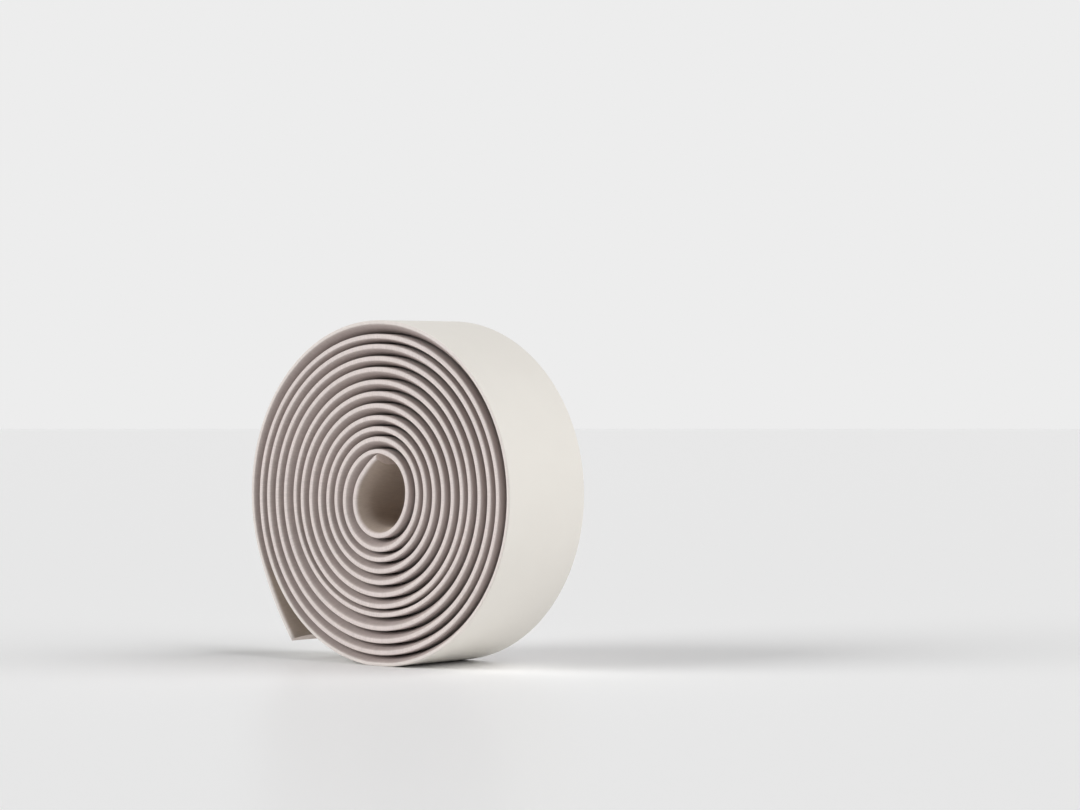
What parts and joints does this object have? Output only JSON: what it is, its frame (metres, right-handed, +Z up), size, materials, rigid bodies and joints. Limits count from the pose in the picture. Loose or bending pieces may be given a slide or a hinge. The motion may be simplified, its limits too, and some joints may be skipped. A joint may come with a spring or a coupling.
{
  "type": "handlebar tape roll",
  "caption": "Roll of padded bar tape, wound in a flat spiral with thinned edges and a loose square-cut outer end, standing on its rim.",
  "frame": {"origin": "on the supporting surface, under the roll's axis, halfway along the tape's width, in the middle of the flat spot that the soft roll stands on", "axes": "+Z up; Y along the roll's axis, which is level, with the end that the picture shows facing -Y; +X to the right as seen from that end, so the loose outer end lies low on the -X side"},
  "size_m": [0.0908, 0.03, 0.0899],
  "materials": {
    "tape_foam": "matt cream foam"
  },
  "bodies": {
    "root": {"bar_tape": "tape_foam"}
  },
  "joints": []
}
